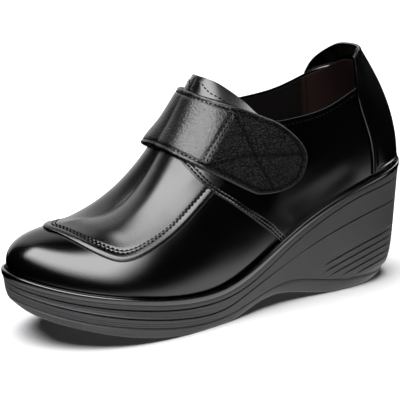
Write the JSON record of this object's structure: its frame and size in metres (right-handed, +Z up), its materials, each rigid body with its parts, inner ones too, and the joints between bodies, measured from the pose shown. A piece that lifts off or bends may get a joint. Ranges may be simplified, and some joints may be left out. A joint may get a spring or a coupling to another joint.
{
  "type": "wedge platform shoe",
  "caption": "Left women's wedge platform shoe: lasted black leather upper, ribbed wedge sole, welt, heel counter and a fastened instep strap.",
  "frame": {"origin": "on the floor under the middle of the shoe's box", "axes": "+X towards the toe, +Y towards the wearer's left (the outer side, where the strap fastens), +Z up"},
  "size_m": [0.2482, 0.0847, 0.143],
  "materials": {
    "outsole_rubber": "matte dark grey",
    "wedge_foam": "satin dark grey moulded",
    "welt_leather": "glossy black",
    "insole_leather": "matte dark brown",
    "upper_leather": "polished black",
    "counter_leather": "polished black",
    "strap_leather": "polished black, pebbled towards the tab"
  },
  "bodies": {
    "root": {"outsole": "outsole_rubber", "wedge": "wedge_foam", "welt": "welt_leather", "insole": "insole_leather", "upper": "upper_leather", "counter": "counter_leather", "strap": "strap_leather"}
  },
  "joints": []
}
